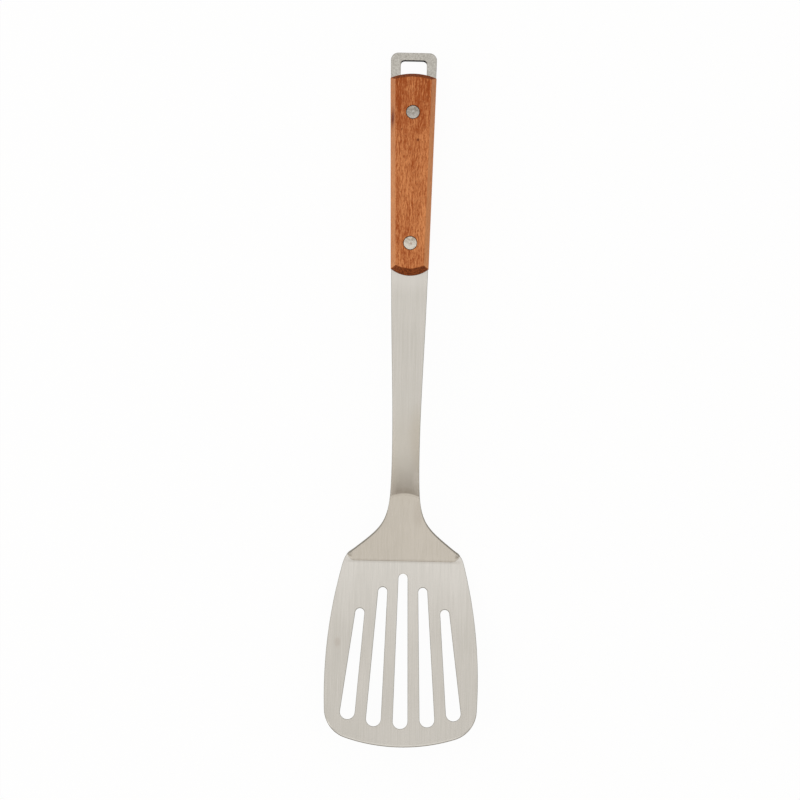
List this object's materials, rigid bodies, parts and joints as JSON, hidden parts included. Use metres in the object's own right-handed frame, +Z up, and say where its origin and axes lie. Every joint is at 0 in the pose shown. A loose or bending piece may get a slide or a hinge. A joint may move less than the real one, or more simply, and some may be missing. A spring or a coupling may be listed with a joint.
{
  "type": "slotted turner",
  "caption": "Slotted steel turner with a round-cornered blade, a stepped shoulder, a long flat shank and riveted wooden grip scales in front of a hanging loop.",
  "frame": {"origin": "centre of the bounding box in plan, on the surface that the turner lies on", "axes": "+Y from the blade's front edge towards the hanging loop, +Z up as it lies on a table, +X to the right seen from above with the loop at the top"},
  "size_m": [0.1012, 0.4576, 0.0306],
  "materials": {
    "steel_sheet": "lengthwise brushed",
    "grip_wood": "reddish brown, oiled, fine open grain",
    "rivet_metal": "satin"
  },
  "bodies": {
    "root": {"steel_turner": "steel_sheet", "front_scale": "grip_wood", "back_scale": "grip_wood", "upper_rivet_pin": "rivet_metal", "upper_rivet_tube": "rivet_metal", "lower_rivet_pin": "rivet_metal", "lower_rivet_tube": "rivet_metal"}
  },
  "joints": []
}
